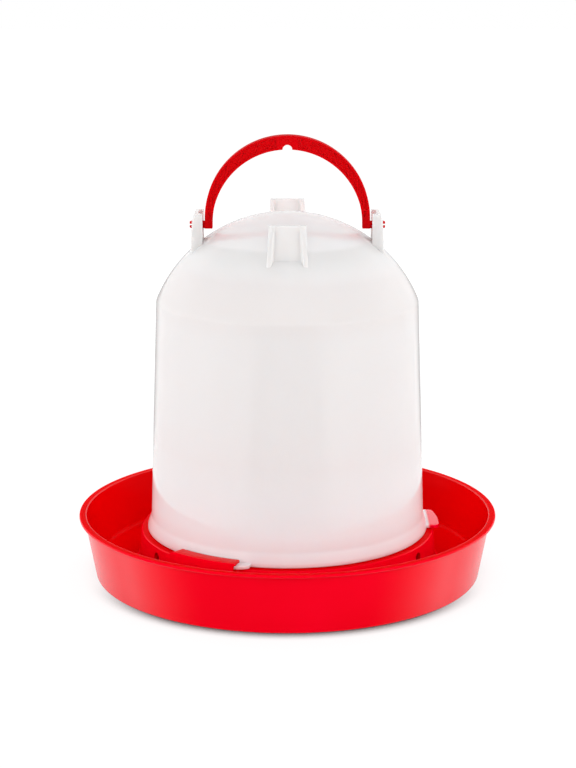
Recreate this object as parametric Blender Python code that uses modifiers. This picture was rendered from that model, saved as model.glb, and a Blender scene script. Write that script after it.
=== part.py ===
# Poultry feeder and drinker: a round tray, a domed hopper that turns into
# bayonet hooks on the tray, and a carrying handle on split snap pins.
# Metres, +Z up, front at -Y, resting on the tray's base ring at z = 0.

from math import atan2, cos, pi, radians, sin, sqrt

import bmesh
import bpy
from mathutils import Matrix, Vector

MM = 0.001
STEPS = 72
GAP = 0.3 * MM
SPARE = 1.0 * MM

# Sizes that the tray and the hopper share
HOPPER_BASE_RADIUS = 98.4 * MM
PLINTH_SHELF = 7.0 * MM
PLINTH_RADIUS = HOPPER_BASE_RADIUS + PLINTH_SHELF

# Tray
TROUGH_REACH = 44.6 * MM
RIM_RADIUS = PLINTH_RADIUS + TROUGH_REACH
RIM_HEIGHT = 44.2 * MM
LIP_WIDTH = 5.2 * MM
LIP_THICKNESS = 2.2 * MM
LIP_OVERHANG = 3.8 * MM
TRAY_WALL = 2.0 * MM
WALL_TAPER = 7.8 * MM
WALL_TOP_RADIUS = RIM_RADIUS - LIP_OVERHANG
BASE_RADIUS = WALL_TOP_RADIUS - WALL_TAPER
FLOOR_TOP = 7.0 * MM
FLOOR_THICKNESS = 2.2 * MM
FLOOR_FILLET = 4.6 * MM

# Raised ring in the tray that carries the hopper
PLINTH_TOP = 32.1 * MM
PLINTH_FLARE = 2.2 * MM
PLINTH_WALL = 2.6 * MM
LEDGE_THICKNESS = 2.4 * MM
LEDGE_DEPTH = 12.8 * MM
LEDGE_INNER_RADIUS = PLINTH_RADIUS - LEDGE_DEPTH
OUTLETS = 6
OUTLET_DIAMETER = 7.0 * MM
OUTLET_HEIGHT = 24.5 * MM

# Hopper
HOPPER_WALL = 2.2 * MM
HOPPER_DRAFT = 5.9 * MM
SHOULDER_RADIUS = HOPPER_BASE_RADIUS - HOPPER_DRAFT
SHOULDER_HEIGHT = 198.6 * MM
CROWN_RISE = 61.7 * MM
CROWN_HEIGHT = SHOULDER_HEIGHT + CROWN_RISE
BEAD_PROJECTION = 2.6 * MM
BEAD_RADIUS = HOPPER_BASE_RADIUS + BEAD_PROJECTION
BEAD_HEIGHT = 5.0 * MM
HOPPER_BOTTOM = PLINTH_TOP + GAP

# Bayonet: angles are measured from the front (-Y) towards +X
LUG_THICKNESS = 2.4 * MM
LUG_REACH = 8.5 * MM
LUG_HALF_ANGLE = radians(10.5)
LUG_CORNER_ANGLE = radians(2.4)
LOCK_ANGLE = radians(-24.8)
TAB_ANGLE = radians(94.5)
TURN_GAP = radians(0.25)
HOOK_COUNT = 2
HOOK_CLEARANCE = 0.6 * MM
HOOK_ROOF = 2.2 * MM
HOOK_WEB = 2.5 * MM
HOOK_OVERLAP = 6.3 * MM
HOOK_STOP_ANGLE = radians(8.7)
HOOK_RAMP_ANGLE = radians(5.5)
HOOK_OPEN_ANGLE = radians(3.0)
HOOK_NOSE_ANGLE = radians(2.2)
HOOK_BLUNT_ANGLE = radians(0.6)
HOOK_FLARE = 1.6 * MM

# Feet on the dome
FOOT_ABOVE_CROWN = 0.5 * MM
FOOT_TOP = CROWN_HEIGHT + FOOT_ABOVE_CROWN
FOOT_INNER_RADIUS = 59.0 * MM
FOOT_WEB = 2.4 * MM
FOOT_WEB_SET_IN = 2.8 * MM
FOOT_DEPTH = 7.2 * MM
FOOT_OUTER_RADIUS = FOOT_INNER_RADIUS + FOOT_DEPTH
FOOT_RIB_EDGE = 3.2 * MM
FOOT_RIB_ROOT = 4.6 * MM
FOOT_HALF_WIDTH_TOP = 12.5 * MM
FOOT_HALF_WIDTH_BASE = 14.7 * MM
FOOT_CHAMFER_HEIGHT = 4.4 * MM
FOOT_CHAMFER_DEPTH = 2.2 * MM
FOOT_FLARE = 2.0 * MM

# Handle
PIN_BELOW_FOOT_TOP = 9.0 * MM
PIN_HEIGHT = FOOT_TOP - PIN_BELOW_FOOT_TOP
HANDLE_DEPTH = 9.0 * MM
HANDLE_SIDE_GAP = 1.3 * MM
HANDLE_OUTER_RADIUS = FOOT_INNER_RADIUS - HANDLE_SIDE_GAP
HANDLE_OUTER_RISE = 4.9 * MM
HANDLE_WIDTH = 5.3 * MM
HANDLE_INNER_RADIUS = HANDLE_OUTER_RADIUS - HANDLE_WIDTH
HANDLE_INNER_RISE = 0.5 * MM
HANDLE_END_DROP = 2.3 * MM
HANDLE_EDGE_ROUND = 0.7 * MM
NOTCH_RADIUS = 3.4 * MM
POCKET_DEPTH = 3.0 * MM
POCKET_BORDER = 1.5 * MM
POCKET_RIB = 1.1 * MM
POCKET_PITCH = radians(6.4)
POCKETS_PER_SIDE = 11
POCKET_START = radians(8.0)

# Split snap pins
PIN_RADIUS = 2.2 * MM
BARB_RADIUS = 2.85 * MM
BARB_LENGTH = 3.0 * MM
PIN_SLOT = 1.25 * MM
BOSS_RADIUS = 2.7 * MM


def clear_scene():
    for obj in list(bpy.data.objects):
        bpy.data.objects.remove(obj)


def new_collection(name, helpers=False):
    collection = bpy.data.collections.new(name)
    bpy.context.scene.collection.children.link(collection)
    collection.hide_render = helpers
    return collection


def plastic(name, colour, roughness):
    material = bpy.data.materials.new(name)
    material.use_nodes = True
    shader = material.node_tree.nodes["Principled BSDF"]
    shader.inputs["Base Color"].default_value = (*colour, 1.0)
    shader.inputs["Roughness"].default_value = roughness
    shader.inputs["IOR"].default_value = 1.49
    return material


def add_object(name, mesh, collection):
    """Adds an object. Whatever goes into the hidden collection is a cutter or a block to join."""
    obj = bpy.data.objects.new(name, mesh)
    collection.objects.link(obj)
    if collection.hide_render:
        obj.hide_render = True
        obj.display_type = "WIRE"
    return obj


def mesh_object(name, shape, collection):
    mesh = bpy.data.meshes.new(name)
    bmesh.ops.recalc_face_normals(shape, faces=shape.faces)
    shape.to_mesh(mesh)
    shape.free()
    return add_object(name, mesh, collection)


def turned(name, profile, collection, closed=False, axis="Z", steps=STEPS):
    """A profile turned about an axis. It is given as (radius, place along the axis) pairs."""
    if axis == "Z":
        points = [(radius, 0.0, along) for radius, along in profile]
    else:
        points = [(along, 0.0, radius) for radius, along in profile]
    edges = [(i, i + 1) for i in range(len(points) - 1)]
    if closed:
        edges.append((len(points) - 1, 0))
    mesh = bpy.data.meshes.new(name)
    mesh.from_pydata(points, edges, [])
    obj = add_object(name, mesh, collection)
    screw = obj.modifiers.new("Turn", "SCREW")
    screw.axis = axis
    screw.angle = 2.0 * pi
    screw.steps = steps
    screw.render_steps = steps
    screw.use_merge_vertices = True
    screw.merge_threshold = 0.00001
    return obj


def cylinders(name, placements, radius, length, sides, collection):
    """Equal cylinders, each along the local Z axis of its placement."""
    shape = bmesh.new()
    for placement in placements:
        bmesh.ops.create_cone(
            shape,
            cap_ends=True,
            segments=sides,
            radius1=radius,
            radius2=radius,
            depth=length,
            matrix=placement,
        )
    return mesh_object(name, shape, collection)


def plates(name, outlines, placement, thickness, collection):
    """Flat outlines given a thickness: a filled 2D curve, made a mesh so that it can be cut or joined."""
    curve = bpy.data.curves.new(name, "CURVE")
    curve.dimensions = "2D"
    curve.fill_mode = "BOTH"
    curve.extrude = thickness / 2
    for outline in outlines:
        spline = curve.splines.new("POLY")
        spline.points.add(len(outline) - 1)
        for point, (x, y) in zip(spline.points, outline):
            point.co = (x, y, 0.0, 1.0)
        spline.use_cyclic_u = True
    drawn = bpy.data.objects.new(name + "_curve", curve)
    bpy.context.scene.collection.objects.link(drawn)
    graph = bpy.context.evaluated_depsgraph_get()
    mesh = bpy.data.meshes.new_from_object(drawn.evaluated_get(graph))
    bpy.data.objects.remove(drawn)
    shape = bmesh.new()
    shape.from_mesh(mesh)
    bmesh.ops.remove_doubles(shape, verts=shape.verts, dist=0.000001)
    bmesh.ops.transform(shape, matrix=placement, verts=shape.verts)
    bpy.data.meshes.remove(mesh)
    return mesh_object(name, shape, collection)


def add_loft(shape, rings):
    """Skins a stack of rings with equal point counts, for a form whose section changes."""
    rows = [[shape.verts.new(point) for point in ring] for ring in rings]
    for lower, upper in zip(rows, rows[1:]):
        for i in range(len(lower)):
            j = (i + 1) % len(lower)
            shape.faces.new((lower[i], lower[j], upper[j], upper[i]))
    shape.faces.new(rows[0])
    shape.faces.new(rows[-1])


def add_sweep(shape, ring, angle, steps):
    """Sweeps a flat section about the vertical axis."""
    section = shape.faces.new([shape.verts.new(point) for point in ring])
    geometry = [section] + list(section.edges) + list(section.verts)
    bmesh.ops.spin(
        shape,
        geom=geometry,
        cent=(0.0, 0.0, 0.0),
        axis=(0.0, 0.0, 1.0),
        angle=angle,
        steps=steps,
    )


def combine(obj, other, operation):
    boolean = obj.modifiers.new(operation.title() + " " + other.name, "BOOLEAN")
    boolean.operation = operation
    boolean.solver = "EXACT"
    boolean.object = other


def settle(obj, material, origin=(0.0, 0.0, 0.0)):
    """Applies the modifiers, puts the origin in its place and shades the round faces smooth."""
    graph = bpy.context.evaluated_depsgraph_get()
    mesh = bpy.data.meshes.new_from_object(obj.evaluated_get(graph))
    obj.modifiers.clear()
    obj.data = mesh
    mesh.transform(Matrix.Translation(-Vector(origin)))
    obj.location = origin
    mesh.materials.clear()
    mesh.materials.append(material)
    mesh.shade_smooth()
    mesh.set_sharp_from_angle(angle=radians(32.0))
    return obj


def polar(radius, angle, height):
    """A point at an angle from the front, counted towards +X."""
    return Vector((radius * sin(angle), -radius * cos(angle), height))


def arc(centre, radius, start, end, count):
    """Points of a circle in the (radius, height) plane, both ends included."""
    points = []
    for i in range(count + 1):
        angle = start + (end - start) * i / count
        points.append((centre[0] + radius * cos(angle), centre[1] + radius * sin(angle)))
    return points


def spread(start, end, count):
    return [start + (end - start) * i / count for i in range(count + 1)]


# Tray


def wall_radius(height):
    """Outer radius of the tapered tray wall."""
    share = height / (RIM_HEIGHT - LIP_THICKNESS)
    return BASE_RADIUS + (WALL_TOP_RADIUS - BASE_RADIUS) * share


def tray_profile():
    lip_under = RIM_HEIGHT - LIP_THICKNESS
    lip_round = LIP_THICKNESS / 2
    inner_edge = RIM_RADIUS - LIP_WIDTH
    floor_under = FLOOR_TOP - FLOOR_THICKNESS
    inner_foot = wall_radius(FLOOR_TOP) - TRAY_WALL
    ledge_under = PLINTH_TOP - LEDGE_THICKNESS
    plinth_foot = PLINTH_RADIUS + PLINTH_FLARE
    profile = [(inner_edge + 0.35 * LIP_THICKNESS, RIM_HEIGHT)]
    profile += arc((RIM_RADIUS - lip_round, RIM_HEIGHT - lip_round), lip_round, pi / 2, -pi / 2, 6)
    profile += [
        (WALL_TOP_RADIUS + 0.5 * LIP_THICKNESS, lip_under - 0.1 * LIP_THICKNESS),
        (WALL_TOP_RADIUS, lip_under - 0.6 * LIP_THICKNESS),
        (wall_radius(1.4 * MM), 1.4 * MM),
        (wall_radius(0.0) - 0.35 * MM, 0.4 * MM),
        (wall_radius(0.0) - 1.0 * MM, 0.0),
        (wall_radius(0.0) - 3.0 * MM, 0.0),
        (wall_radius(floor_under) - 2.4 * MM, floor_under - 1.0 * MM),
        (wall_radius(floor_under) - 3.4 * MM, floor_under),
        (0.0, floor_under),
        (0.0, FLOOR_TOP),
        (plinth_foot - PLINTH_WALL - 2.0 * MM, FLOOR_TOP),
        (plinth_foot - PLINTH_WALL, FLOOR_TOP + 2.0 * MM),
        (PLINTH_RADIUS - PLINTH_WALL, ledge_under),
        (LEDGE_INNER_RADIUS, ledge_under),
        (LEDGE_INNER_RADIUS, PLINTH_TOP),
    ]
    edge = 1.2 * MM
    profile += arc((PLINTH_RADIUS - edge, PLINTH_TOP - edge), edge, pi / 2, 0.0, 3)
    foot_fillet = 4.0 * MM
    profile += arc(
        (plinth_foot + foot_fillet, FLOOR_TOP + foot_fillet),
        foot_fillet,
        pi,
        1.5 * pi,
        4,
    )
    profile += arc(
        (inner_foot - FLOOR_FILLET + 0.2 * MM, FLOOR_TOP + FLOOR_FILLET),
        FLOOR_FILLET,
        -pi / 2,
        radians(-8.0),
        5,
    )
    profile += [
        (inner_edge - 0.15 * LIP_THICKNESS, RIM_HEIGHT - 0.75 * LIP_THICKNESS),
        (inner_edge, RIM_HEIGHT - 0.3 * LIP_THICKNESS),
    ]
    return profile


def add_hooks(bodies, slots, undercuts):
    """Ramped hook bodies with blunt noses, the slots that take the lugs, and the cuts under the noses."""
    lug_radius = BEAD_RADIUS + LUG_REACH
    lug_top = HOPPER_BOTTOM + GAP + LUG_THICKNESS
    root = PLINTH_RADIUS - 0.45 * PLINTH_WALL
    roof_inner = lug_radius - HOOK_OVERLAP
    web_inner = lug_radius + HOOK_CLEARANCE
    outer = web_inner + HOOK_WEB
    bottom = FLOOR_TOP - 0.5 * FLOOR_THICKNESS
    roof_under = lug_top + HOOK_CLEARANCE
    roof_top = roof_under + HOOK_ROOF
    corner = 0.6 * HOOK_ROOF
    blunt = 0.2 * HOOK_ROOF
    in_ledge = PLINTH_TOP - 0.5 * LEDGE_THICKNESS
    crest = [
        (outer, roof_under),
        (outer - 0.3 * corner, roof_top - corner),
        (outer - corner, roof_top),
        (roof_inner, roof_top),
    ]
    low_crest = [(radius, height + PLINTH_TOP - roof_top - blunt) for radius, height in crest]
    nose_crest = [(max(roof_inner, radius - 2.0 * blunt), height - blunt) for radius, height in crest]
    heel = [(roof_inner, in_ledge), (root, in_ledge), (root, bottom), (outer + HOOK_FLARE, bottom)]
    slot = [
        (roof_inner - SPARE, PLINTH_TOP - GAP),
        (web_inner, PLINTH_TOP - GAP),
        (web_inner, roof_under),
        (roof_inner - SPARE, roof_under),
    ]
    under_nose = [
        (root - SPARE, bottom - SPARE),
        (outer + HOOK_FLARE + SPARE, bottom - SPARE),
        (outer + HOOK_FLARE + SPARE, roof_under + blunt),
        (root - SPARE, roof_under + blunt),
    ]
    slot_start = LOCK_ANGLE - LUG_HALF_ANGLE - TURN_GAP
    ramp_top = slot_start - HOOK_STOP_ANGLE
    ramp_foot = ramp_top - HOOK_RAMP_ANGLE
    web_end = LOCK_ANGLE + HOOK_OPEN_ANGLE
    nose_end = web_end + HOOK_NOSE_ANGLE
    blunt_start = nose_end - HOOK_BLUNT_ANGLE
    past_end = nose_end + HOOK_NOSE_ANGLE
    for i in range(HOOK_COUNT):
        turn = 2.0 * pi * i / HOOK_COUNT

        def ring(section, angle):
            return [polar(radius, angle + turn, height) for radius, height in section]

        rings = [ring(low_crest + heel, ramp_foot)]
        rings += [ring(crest + heel, angle) for angle in spread(ramp_top, blunt_start, 8)]
        rings.append(ring(nose_crest + heel, nose_end))
        add_loft(bodies, rings)
        add_sweep(slots, ring(slot, slot_start), past_end - slot_start, 6)
        add_sweep(undercuts, ring(under_nose, web_end), past_end - web_end, 2)


def build_tray(collection, helpers):
    tray = turned("tray", tray_profile(), collection, closed=True)
    bodies, slots, undercuts = bmesh.new(), bmesh.new(), bmesh.new()
    add_hooks(bodies, slots, undercuts)
    hooks = mesh_object("hook_blocks", bodies, helpers)
    combine(hooks, mesh_object("lug_slot_cutters", slots, helpers), "DIFFERENCE")
    combine(hooks, mesh_object("nose_undercutters", undercuts, helpers), "DIFFERENCE")
    combine(tray, hooks, "UNION")
    placements = []
    for i in range(OUTLETS):
        angle = 2.0 * pi * i / OUTLETS
        outwards = polar(1.0, angle, 0.0).to_track_quat("Z", "Y").to_matrix().to_4x4()
        placements.append(Matrix.Translation(polar(PLINTH_RADIUS, angle, OUTLET_HEIGHT)) @ outwards)
    length = 6.0 * PLINTH_WALL
    holes = cylinders("outlet_cutters", placements, OUTLET_DIAMETER / 2, length, 16, helpers)
    combine(tray, holes, "DIFFERENCE")
    return settle(tray, plastic("polypropylene_red", (0.78, 0.004, 0.02), 0.34))


# Hopper


def crown_circle(offset):
    """Centre height and radius of the dome's arc, moved inwards by an offset."""
    radius = (SHOULDER_RADIUS**2 + CROWN_RISE**2) / (2.0 * CROWN_RISE)
    return CROWN_HEIGHT - radius, radius - offset


def side_radius(height):
    """Outer radius of the drafted hopper wall."""
    share = (height - HOPPER_BOTTOM) / (SHOULDER_HEIGHT - HOPPER_BOTTOM)
    return HOPPER_BASE_RADIUS + (SHOULDER_RADIUS - HOPPER_BASE_RADIUS) * share


def crown_profile(offset, shoulder, count):
    """Arc points from the axis down to a shoulder radius."""
    centre, radius = crown_circle(offset)
    last = atan2(sqrt(radius**2 - shoulder**2), shoulder)
    points = [(0.0, centre + radius)]
    points += arc((0.0, centre), radius, pi / 2, last, count)[1:]
    return points


def hopper_outside():
    profile = crown_profile(0.0, SHOULDER_RADIUS, 13)
    bead_round = 1.1 * MM
    profile += [
        (side_radius(HOPPER_BOTTOM + 2.0 * BEAD_HEIGHT), HOPPER_BOTTOM + 2.0 * BEAD_HEIGHT),
        (side_radius(HOPPER_BOTTOM) + 0.3 * MM, HOPPER_BOTTOM + 1.2 * BEAD_HEIGHT),
        (BEAD_RADIUS - 0.5 * MM, HOPPER_BOTTOM + 0.75 * BEAD_HEIGHT),
        (BEAD_RADIUS, HOPPER_BOTTOM + 0.5 * BEAD_HEIGHT),
    ]
    profile += arc((BEAD_RADIUS - bead_round, HOPPER_BOTTOM + bead_round), bead_round, 0.0, -pi / 2, 3)
    profile.append((0.0, HOPPER_BOTTOM))
    return profile


def hopper_cavity():
    shoulder = SHOULDER_RADIUS - HOPPER_WALL - 0.3 * MM
    profile = crown_profile(HOPPER_WALL, shoulder, 11)
    below = 4.0 * MM
    mouth = HOPPER_BASE_RADIUS - HOPPER_WALL
    profile += [
        (mouth, HOPPER_BOTTOM + 1.0 * MM),
        (mouth + 1.0 * MM, HOPPER_BOTTOM),
        (mouth + 1.0 * MM, HOPPER_BOTTOM - below),
        (0.0, HOPPER_BOTTOM - below),
    ]
    return profile


def lug_outline(angle):
    """A lug seen from above: an arc-shaped tab with eased outer corners."""
    root = BEAD_RADIUS - 2.0 * MM
    reach = BEAD_RADIUS + LUG_REACH
    half = LUG_HALF_ANGLE
    corner = LUG_CORNER_ANGLE
    outline = [(root, turn) for turn in spread(half, -half, 4)]
    outline.append((reach - 0.35 * LUG_REACH, -half))
    outline.append((reach - 0.1 * LUG_REACH, -half + 0.35 * corner))
    outline += [(reach, turn) for turn in spread(corner - half, half - corner, 4)]
    outline.append((reach - 0.1 * LUG_REACH, half - 0.35 * corner))
    outline.append((reach - 0.35 * LUG_REACH, half))
    return [polar(radius, angle + turn, 0.0).to_2d() for radius, turn in outline]


def foot_rings(angle):
    """A channel foot: a web across the middle and a drafted rib along each edge."""
    chamfer = FOOT_TOP - FOOT_CHAMFER_HEIGHT
    base = SHOULDER_HEIGHT + 0.42 * CROWN_RISE
    flare_top = base + 0.5 * (chamfer - base)
    outer_base = FOOT_OUTER_RADIUS + 1.6 * MM
    levels = [
        (base, FOOT_INNER_RADIUS - 2.0 * FOOT_FLARE, outer_base),
        (flare_top, FOOT_INNER_RADIUS, FOOT_OUTER_RADIUS + 0.8 * MM),
        (chamfer, FOOT_INNER_RADIUS, FOOT_OUTER_RADIUS),
        (FOOT_TOP, FOOT_INNER_RADIUS, FOOT_OUTER_RADIUS - FOOT_CHAMFER_DEPTH),
    ]
    rings = []
    for height, inner, outer in levels:
        share = (FOOT_TOP - height) / (FOOT_TOP - base)
        half = FOOT_HALF_WIDTH_TOP + (FOOT_HALF_WIDTH_BASE - FOOT_HALF_WIDTH_TOP) * share
        web_inside = FOOT_INNER_RADIUS + FOOT_WEB_SET_IN
        web_outside = web_inside + FOOT_WEB
        edge = half - FOOT_RIB_EDGE
        root = half - FOOT_RIB_ROOT
        section = [
            (inner, -half),
            (outer, -half),
            (outer, -edge),
            (web_outside, -root),
            (web_outside, root),
            (outer, edge),
            (outer, half),
            (inner, half),
            (inner, edge),
            (web_inside, root),
            (web_inside, -root),
            (inner, -edge),
        ]
        along = polar(1.0, angle, 0.0)
        across = polar(1.0, angle + pi / 2, 0.0)
        lift = Vector((0.0, 0.0, height))
        rings.append([along * radius + across * side + lift for radius, side in section])
    return rings


def build_hopper(collection, helpers):
    hopper = turned("hopper", hopper_outside(), collection)
    feet = bmesh.new()
    for i in range(4):
        add_loft(feet, foot_rings(i * pi / 2))
    combine(hopper, mesh_object("foot_blocks", feet, helpers), "UNION")
    angles = [LOCK_ANGLE + 2.0 * pi * i / HOOK_COUNT for i in range(HOOK_COUNT)]
    angles.append(TAB_ANGLE)
    outlines = [lug_outline(angle) for angle in angles]
    middle = Matrix.Translation((0.0, 0.0, HOPPER_BOTTOM + GAP + LUG_THICKNESS / 2))
    combine(hopper, plates("lug_blocks", outlines, middle, LUG_THICKNESS, helpers), "UNION")
    combine(hopper, turned("cavity_cutter", hopper_cavity(), helpers), "DIFFERENCE")
    placements = []
    for side in (-1, 1):
        along_x = Matrix.Rotation(pi / 2, 4, "Y")
        middle = side * (FOOT_INNER_RADIUS + FOOT_OUTER_RADIUS) / 2
        placements.append(Matrix.Translation((middle, 0.0, PIN_HEIGHT)) @ along_x)
    length = 2.0 * (FOOT_OUTER_RADIUS - FOOT_INNER_RADIUS)
    holes = cylinders("pin_hole_cutters", placements, PIN_RADIUS + GAP, length, 20, helpers)
    combine(hopper, holes, "DIFFERENCE")
    return settle(hopper, plastic("polypropylene_natural", (0.84, 0.83, 0.82), 0.3))


# Handle


def bow_point(radius, rise, angle):
    """A point of one of the handle's arcs, at an angle from straight up, from the pins' axis."""
    return Vector((radius * sin(angle), rise + radius * cos(angle)))


def bow_outline():
    end = -HANDLE_END_DROP
    quarter = pi / 2
    notch = atan2(NOTCH_RADIUS, HANDLE_INNER_RADIUS)
    points = [Vector((HANDLE_OUTER_RADIUS, end))]
    points += [bow_point(HANDLE_OUTER_RADIUS, HANDLE_OUTER_RISE, a) for a in spread(quarter, -quarter, 64)]
    points.append(Vector((-HANDLE_OUTER_RADIUS, end)))
    points.append(Vector((-HANDLE_INNER_RADIUS, end)))
    points += [bow_point(HANDLE_INNER_RADIUS, HANDLE_INNER_RISE, a) for a in spread(-quarter, -notch, 28)]
    notch_rise = points[-1].y
    points += [bow_point(NOTCH_RADIUS, notch_rise, a) for a in spread(-quarter, quarter, 10)[1:-1]]
    points += [bow_point(HANDLE_INNER_RADIUS, HANDLE_INNER_RISE, a) for a in spread(notch, quarter, 28)]
    points.append(Vector((HANDLE_INNER_RADIUS, end)))
    return points


def inset(points, distance):
    """Moves every side of a convex flat outline inwards."""
    count = len(points)
    middle = sum(points, Vector((0.0, 0.0))) / count
    moved = []
    for i in range(count):
        lines = []
        for a, b in ((points[i - 1], points[i]), (points[i], points[(i + 1) % count])):
            along = (b - a).normalized()
            normal = Vector((-along.y, along.x))
            if normal.dot(middle - a) < 0.0:
                normal = -normal
            lines.append((normal, normal.dot(a) + distance))
        (n1, d1), (n2, d2) = lines
        cross = n1.x * n2.y - n1.y * n2.x
        moved.append(Vector(((d1 * n2.y - d2 * n1.y) / cross, (n1.x * d2 - n2.x * d1) / cross)))
    return moved


def pocket_outlines():
    """Triangular pockets that leave a zig-zag rib between the handle's two edges."""
    outer = (HANDLE_OUTER_RADIUS - POCKET_BORDER, HANDLE_OUTER_RISE)
    inner = (HANDLE_INNER_RADIUS + POCKET_BORDER, HANDLE_INNER_RISE)
    outlines = []
    for side in (-1, 1):
        for k in range(POCKETS_PER_SIDE):
            before = side * (POCKET_START + k * POCKET_PITCH)
            here = before + side * POCKET_PITCH
            after = here + side * POCKET_PITCH
            if k % 2 == 0:
                corners = [bow_point(*outer, angle) for angle in (before, here, after)]
                corners.append(bow_point(*inner, here))
            else:
                corners = [bow_point(*inner, before), bow_point(*inner, after), bow_point(*outer, here)]
            outlines.append(inset(corners, POCKET_RIB / 2))
    return outlines


def pin_profile(side):
    """Boss, shank, barb and tapered tip of a snap pin, as (radius, place along X) pairs."""
    boss_face = FOOT_INNER_RADIUS + FOOT_WEB_SET_IN - GAP
    catch = FOOT_INNER_RADIUS + FOOT_WEB_SET_IN + FOOT_WEB + GAP
    profile = [
        (0.0, HANDLE_OUTER_RADIUS - 2.0 * MM),
        (BOSS_RADIUS, HANDLE_OUTER_RADIUS - 2.0 * MM),
        (BOSS_RADIUS, boss_face),
        (PIN_RADIUS, boss_face),
        (PIN_RADIUS, catch),
        (BARB_RADIUS, catch),
        (BARB_RADIUS, catch + 0.45 * BARB_LENGTH),
        (PIN_RADIUS, catch + BARB_LENGTH),
        (0.0, catch + BARB_LENGTH),
    ]
    return [(radius, side * along) for radius, along in profile]


def slot_cutters(helpers):
    """The slot that splits each pin into two springy prongs."""
    start = FOOT_INNER_RADIUS + FOOT_WEB_SET_IN
    length = FOOT_WEB + 2.0 * BARB_LENGTH
    shape = bmesh.new()
    for side in (-1, 1):
        place = Matrix.Translation((side * (start + length / 2), 0.0, 0.0))
        size = Matrix.Diagonal((length, HANDLE_DEPTH, PIN_SLOT, 1.0))
        bmesh.ops.create_cube(shape, size=1.0, matrix=place @ size)
    return mesh_object("slot_cutters", shape, helpers)


def build_handle(collection, helpers):
    upright = Matrix.Rotation(pi / 2, 4, "X")
    handle = plates("handle", [bow_outline()], upright, HANDLE_DEPTH, collection)
    rounding = handle.modifiers.new("Edge rounding", "BEVEL")
    rounding.width = HANDLE_EDGE_ROUND
    rounding.segments = 2
    rounding.limit_method = "ANGLE"
    rounding.angle_limit = radians(50.0)
    spare = 1.0 * MM
    for side, name in ((-1, "front_pockets"), (1, "back_pockets")):
        middle = side * (HANDLE_DEPTH - POCKET_DEPTH + spare) / 2
        place = Matrix.Translation((0.0, middle, 0.0)) @ upright
        pockets = plates(name, pocket_outlines(), place, POCKET_DEPTH + spare, helpers)
        combine(handle, pockets, "DIFFERENCE")
    for side, name in ((-1, "left_pin"), (1, "right_pin")):
        combine(handle, turned(name, pin_profile(side), helpers, axis="X", steps=20), "UNION")
    combine(handle, slot_cutters(helpers), "DIFFERENCE")
    settle(handle, plastic("polypropylene_red_handle", (0.62, 0.002, 0.004), 0.4))
    handle.location.z = PIN_HEIGHT
    return handle


def main():
    clear_scene()
    collection = new_collection("chicken_feeder_and_waterer")
    helpers = new_collection("cutters", helpers=True)
    build_tray(collection, helpers)
    build_hopper(collection, helpers)
    build_handle(collection, helpers)


main()
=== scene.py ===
from math import atan2, cos, pi, radians, sin, sqrt, tan

import bmesh
import bpy
from mathutils import Matrix, Vector


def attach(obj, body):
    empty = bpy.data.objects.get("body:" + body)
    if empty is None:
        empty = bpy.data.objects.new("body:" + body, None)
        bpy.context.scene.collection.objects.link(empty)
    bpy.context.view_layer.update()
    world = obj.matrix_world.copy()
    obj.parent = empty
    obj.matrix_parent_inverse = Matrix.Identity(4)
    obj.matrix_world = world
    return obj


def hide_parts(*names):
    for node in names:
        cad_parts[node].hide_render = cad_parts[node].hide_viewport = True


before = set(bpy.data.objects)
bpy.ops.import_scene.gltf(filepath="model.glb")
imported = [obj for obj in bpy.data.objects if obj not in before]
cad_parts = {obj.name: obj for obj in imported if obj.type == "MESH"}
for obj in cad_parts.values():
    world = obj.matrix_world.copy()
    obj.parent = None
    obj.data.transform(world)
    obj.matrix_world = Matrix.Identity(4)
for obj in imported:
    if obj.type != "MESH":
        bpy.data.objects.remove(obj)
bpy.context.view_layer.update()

mm = 0.001
samePoint = 0.000002  # points nearer than this become one


# Node trees: sums are written as Python, any other node comes from Tree.node. A ramp's stops are
# (place, colour) pairs.

class Wire:
    def __init__(self, tree, socket):
        self.tree = tree
        self.socket = socket

    def sums(self, operation, first, second):
        return self.tree.node("ShaderNodeMath", {"operation": operation}, {0: first, 1: second})

    def __add__(self, other):
        return self.sums("ADD", self, other)

    def __sub__(self, other):
        return self.sums("SUBTRACT", self, other)

    def __rsub__(self, other):
        return self.sums("SUBTRACT", other, self)

    def __mul__(self, other):
        return self.sums("MULTIPLY", self, other)

    def __truediv__(self, other):
        return self.sums("DIVIDE", self, other)

    def __mod__(self, other):
        return self.sums("MODULO", self, other)

    __radd__ = __add__
    __rmul__ = __mul__


class Tree:
    def __init__(self, tree):
        self.tree = tree

    def node(self, kind, settings=None, sockets=None, output=0):
        made = self.tree.nodes.new(kind)
        for key, value in (settings or {}).items():
            if key == "stops":
                for place, colour in value:
                    stop = made.color_ramp.elements.new(place)
                    stop.color = (*colour, 1.0)
                made.color_ramp.elements.remove(made.color_ramp.elements[0])
                made.color_ramp.elements.remove(made.color_ramp.elements[-1])
            else:
                setattr(made, key, value)
        for key, value in (sockets or {}).items():
            self.feed(made.inputs[key], value)
        return Wire(self, made.outputs[output])

    def feed(self, socket, value):
        if isinstance(value, Wire):
            self.tree.links.new(value.socket, socket)
        else:
            socket.default_value = value


def geometryTree(name, wanted):
    # wanted gives each input's name, socket type and value
    group = bpy.data.node_groups.new(name, "GeometryNodeTree")
    group.interface.new_socket("Geometry", in_out="INPUT", socket_type="NodeSocketGeometry")
    for label, kind, value in wanted:
        socket = group.interface.new_socket(label, in_out="INPUT", socket_type=kind)
        if value is not None:
            socket.default_value = value
    group.interface.new_socket("Geometry", in_out="OUTPUT", socket_type="NodeSocketGeometry")
    tree = Tree(group)
    entry = group.nodes.new("NodeGroupInput")
    given = {socket.name: Wire(tree, socket) for socket in entry.outputs if socket.name}
    return tree, given


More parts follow.
